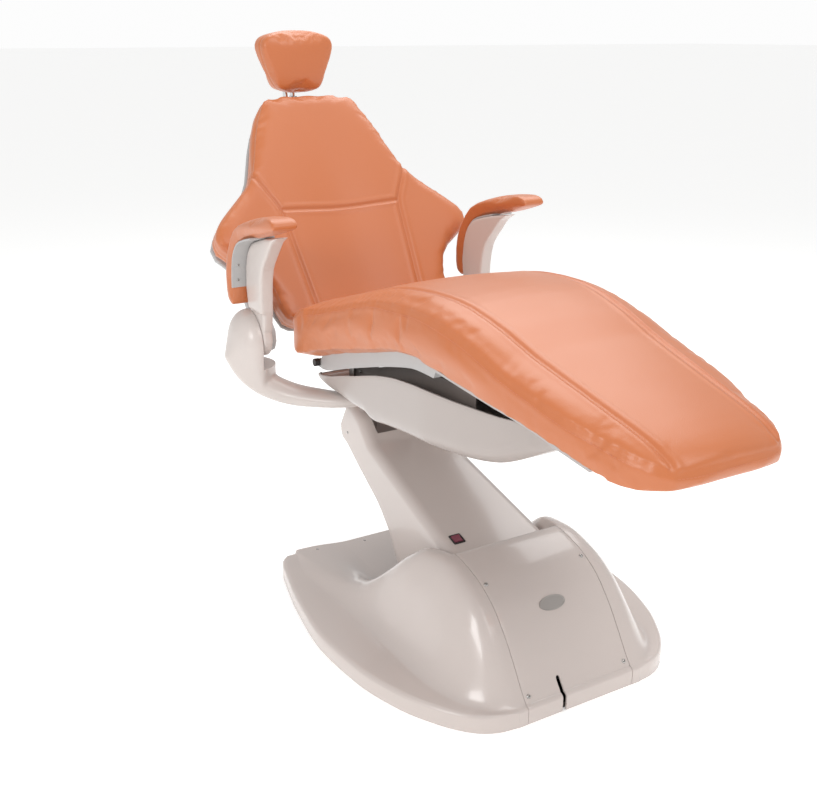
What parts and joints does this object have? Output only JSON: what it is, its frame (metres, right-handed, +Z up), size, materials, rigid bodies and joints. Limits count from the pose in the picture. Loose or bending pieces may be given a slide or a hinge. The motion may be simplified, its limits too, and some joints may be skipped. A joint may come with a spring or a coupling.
{
  "type": "dental chair",
  "caption": "Motorised dental treatment chair: moulded base, lift arm, tilting seat, reclining back, adjustable headrest and drop-down armrests.",
  "frame": {"origin": "on the floor, on the underside of the base plate, in the plane of symmetry and 100 mm behind the lift pivot", "axes": "+Z up, the patient faces -Y, +X is the patient left side"},
  "size_m": [0.7278, 1.6618, 1.238],
  "materials": {
    "shell_gloss": "glossy moulded shell, warm white",
    "tub_gloss": "glossy moulded carriage cover",
    "grey_plastic": "satin moulded grey",
    "vinyl": "soft coated upholstery vinyl, apricot orange",
    "steel": "machined steel",
    "chrome": "polished chrome",
    "dark_metal": "dark powder coat",
    "black_plastic": "black moulded",
    "switch_maroon": "glossy maroon rocker"
  },
  "bodies": {
    "base": {"base_plate": "dark_metal", "base_shell": "shell_gloss", "front_cover": "shell_gloss", "cover_screw_right_1": "chrome", "cover_screw_right_2": "chrome", "cover_screw_left_1": "chrome", "cover_screw_left_2": "chrome", "cover_badge": "chrome", "pivot_stand_right": "dark_metal", "pivot_stand_left": "dark_metal", "lift_pivot_pin": "steel", "link_pin_lower": "steel", "cylinder_mount": "dark_metal", "cylinder_pin": "steel", "pump_motor": "steel", "oil_tank": "dark_metal", "control_box": "grey_plastic"},
    "lift_arm": {"lift_arm": "dark_metal", "arm_cover": "shell_gloss", "upper_pivot_pin": "steel", "switch_bezel": "black_plastic"},
    "switch": {"power_switch": "switch_maroon"},
    "link": {"levelling_link": "steel"},
    "lift_cylinder": {"lift_cylinder": "steel"},
    "lift_rod": {"lift_rod": "chrome"},
    "carriage": {"carriage_frame": "dark_metal", "carriage_cover": "tub_gloss", "yoke_right": "shell_gloss", "yoke_left": "shell_gloss", "hub_pin_right": "steel", "hub_pin_left": "steel", "link_pin_upper": "steel", "seat_pivot_pin_right": "steel", "seat_pivot_pin_left": "steel", "pivot_cap_right": "black_plastic", "pivot_cap_left": "black_plastic", "tilt_cylinder": "steel"},
    "tilt_rod": {"tilt_rod": "chrome"},
    "seat": {"seat_pan": "grey_plastic", "seat_cushion": "vinyl"},
    "back": {"back_frame": "grey_plastic", "back_shell": "grey_plastic", "back_cushion": "vinyl", "headrest_guide": "black_plastic"},
    "headrest_bar": {"headrest_bar": "chrome"},
    "headrest_link": {"headrest_link": "chrome", "headrest_pin": "steel"},
    "headrest_lock": {"headrest_lock": "black_plastic"},
    "headrest": {"headrest_plate": "black_plastic", "headrest_cushion": "vinyl", "headrest_pin_upper": "steel"},
    "armrest_right": {"armrest_post_right": "shell_gloss", "armrest_plate_right": "grey_plastic", "armrest_pad_right": "vinyl"},
    "armrest_left": {"armrest_post_left": "shell_gloss", "armrest_plate_left": "grey_plastic", "armrest_pad_left": "vinyl"},
    "recline_cylinder": {"recline_cylinder": "steel"},
    "recline_rod": {"recline_rod": "chrome"}
  },
  "joints": [
    {"name": "lift", "type": "hinge", "parent": "base", "child": "lift_arm", "pos_m": [0, -0.1, 0.105], "axis": [1, 0, 0], "range_deg": [-16, 20]},
    {"name": "power_switch", "type": "hinge", "parent": "lift_arm", "child": "switch", "pos_m": [0, -0.09271, 0.23148], "axis": [-1, 0, 0], "range_deg": [0, 12]},
    {"name": "link_swing", "type": "hinge", "parent": "base", "child": "link", "pos_m": [0, -0.09, 0.066], "axis": [1, 0, 0], "range_deg": [-16, 20]},
    {"name": "lift_cylinder_swing", "type": "hinge", "parent": "base", "child": "lift_cylinder", "pos_m": [0.02, 0.03, 0.034], "axis": [1, 0, 0], "range_deg": [-17, 21]},
    {"name": "lift_rod_slide", "type": "slide", "parent": "lift_cylinder", "child": "lift_rod", "axis": [0, 0.5104, 0.8599], "range_m": [-0.042, 0.053]},
    {"name": "carriage_level", "type": "hinge", "parent": "lift_arm", "child": "carriage", "pos_m": [0, 0.33412, 0.31673], "axis": [1, 0, 0], "range_deg": [-20, 16]},
    {"name": "seat_tilt", "type": "hinge", "parent": "carriage", "child": "seat", "pos_m": [0, 0.335, 0.522], "axis": [-1, 0, 0], "range_deg": [-3, 6]},
    {"name": "tilt_rod_slide", "type": "slide", "parent": "carriage", "child": "tilt_rod", "axis": [0, 0, 1], "range_m": [-0.009, 0.017]},
    {"name": "back_recline", "type": "hinge", "parent": "carriage", "child": "back", "pos_m": [0, 0.43, 0.575], "axis": [-1, 0, 0], "range_deg": [0, 50]},
    {"name": "recline_cylinder_swing", "type": "hinge", "parent": "carriage", "child": "recline_cylinder", "pos_m": [0, 0.15, 0.505], "axis": [1, 0, 0], "range_deg": [-2, 2]},
    {"name": "recline_rod_slide", "type": "slide", "parent": "recline_cylinder", "child": "recline_rod", "axis": [0, 0.9996, 0.0298], "range_m": [-0.062, 0.001]},
    {"name": "headrest_height", "type": "slide", "parent": "back", "child": "headrest_bar", "axis": [0, 0.5807, 0.8141], "range_m": [0, 0.1]},
    {"name": "headrest_lower_tilt", "type": "hinge", "parent": "headrest_bar", "child": "headrest_link", "pos_m": [0, 0.87514, 1.06818], "axis": [-1, 0, 0], "range_deg": [-2, 35]},
    {"name": "headrest_upper_tilt", "type": "hinge", "parent": "headrest_link", "child": "headrest", "pos_m": [0, 0.905, 1.165], "axis": [-1, 0, 0], "range_deg": [-3, 20]},
    {"name": "headrest_lock", "type": "hinge", "parent": "headrest_link", "child": "headrest_lock", "pos_m": [0, 0.87514, 1.06818], "axis": [1, 0, 0], "range_deg": [0, 45]},
    {"name": "armrest_right", "type": "hinge", "parent": "carriage", "child": "armrest_right", "pos_m": [0, 0.43, 0.575], "axis": [1, 0, 0], "range_deg": [0, 60]},
    {"name": "armrest_left", "type": "hinge", "parent": "carriage", "child": "armrest_left", "pos_m": [0, 0.43, 0.575], "axis": [1, 0, 0], "range_deg": [0, 60]}
  ],
  "couplings": [
    {"joint": "carriage_level", "follows": "lift", "ratio": -1},
    {"joint": "link_swing", "follows": "lift", "ratio": 1},
    {"joint": "lift_cylinder_swing", "follows": "lift", "ratio": 1.03},
    {"joint": "lift_rod_slide", "follows": "lift", "m_per_rad": 0.1455},
    {"joint": "tilt_rod_slide", "follows": "seat_tilt", "m_per_rad": 0.155},
    {"joint": "recline_rod_slide", "follows": "back_recline", "m_per_rad": -0.0676},
    {"joint": "recline_cylinder_swing", "follows": "back_recline", "ratio": -0.01}
  ]
}
